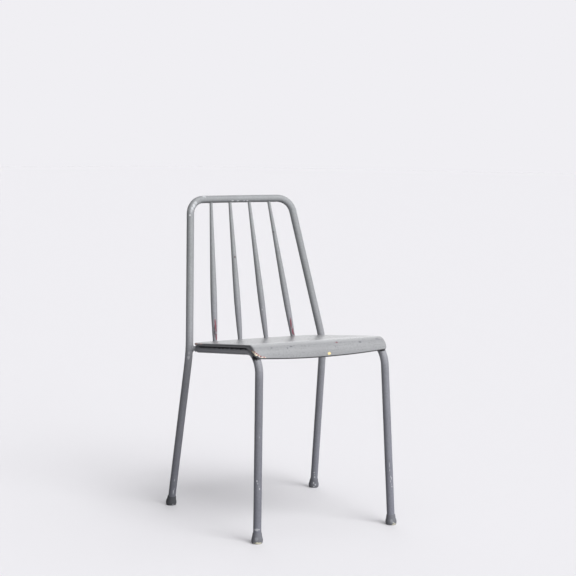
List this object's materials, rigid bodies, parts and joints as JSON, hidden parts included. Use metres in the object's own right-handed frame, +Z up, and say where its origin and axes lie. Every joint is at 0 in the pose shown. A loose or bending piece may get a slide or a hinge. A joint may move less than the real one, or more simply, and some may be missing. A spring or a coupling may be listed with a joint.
{
  "type": "side chair",
  "caption": "Armless side chair of bent steel tube with a pressed sheet seat, a spindle back and rubber feet, worn grey paint.",
  "frame": {"origin": "on the floor under the middle of the chair: x = 0 is the plane of symmetry, y = 0 is half way between the front feet's foremost and the top rail's rearmost point", "axes": "+Z up, +Y toward the back, so the chair faces -Y; x is the width, and the picture's left side is -X"},
  "size_m": [0.4716, 0.5094, 0.8349],
  "materials": {
    "tube_enamel": "semi-gloss, brushed on",
    "spindle_enamel": "semi-gloss, brushed on",
    "seat_enamel": "semi-gloss, chipped along the front bend",
    "bar_enamel": "semi-gloss, dusty",
    "weld_enamel": "semi-gloss over rough weld",
    "ferrule_rubber": "painted over, scuffed",
    "washer_steel": "dull"
  },
  "bodies": {
    "root": {"back_hoop": "tube_enamel", "front_leg_left": "tube_enamel", "front_leg_right": "tube_enamel", "rail_stub_left": "weld_enamel", "rail_stub_right": "weld_enamel", "seat_pan": "seat_enamel", "rear_cross_bar": "bar_enamel", "front_cross_bar": "bar_enamel", "spindle_1": "spindle_enamel", "spindle_2": "spindle_enamel", "spindle_3": "spindle_enamel", "spindle_4": "spindle_enamel", "spindle_foot_welds": "weld_enamel", "tenon_welds": "weld_enamel", "ferrule_front_left": "ferrule_rubber", "ferrule_front_right": "ferrule_rubber", "ferrule_rear_left": "ferrule_rubber", "ferrule_rear_right": "ferrule_rubber", "ferrule_washers": "washer_steel"}
  },
  "joints": []
}
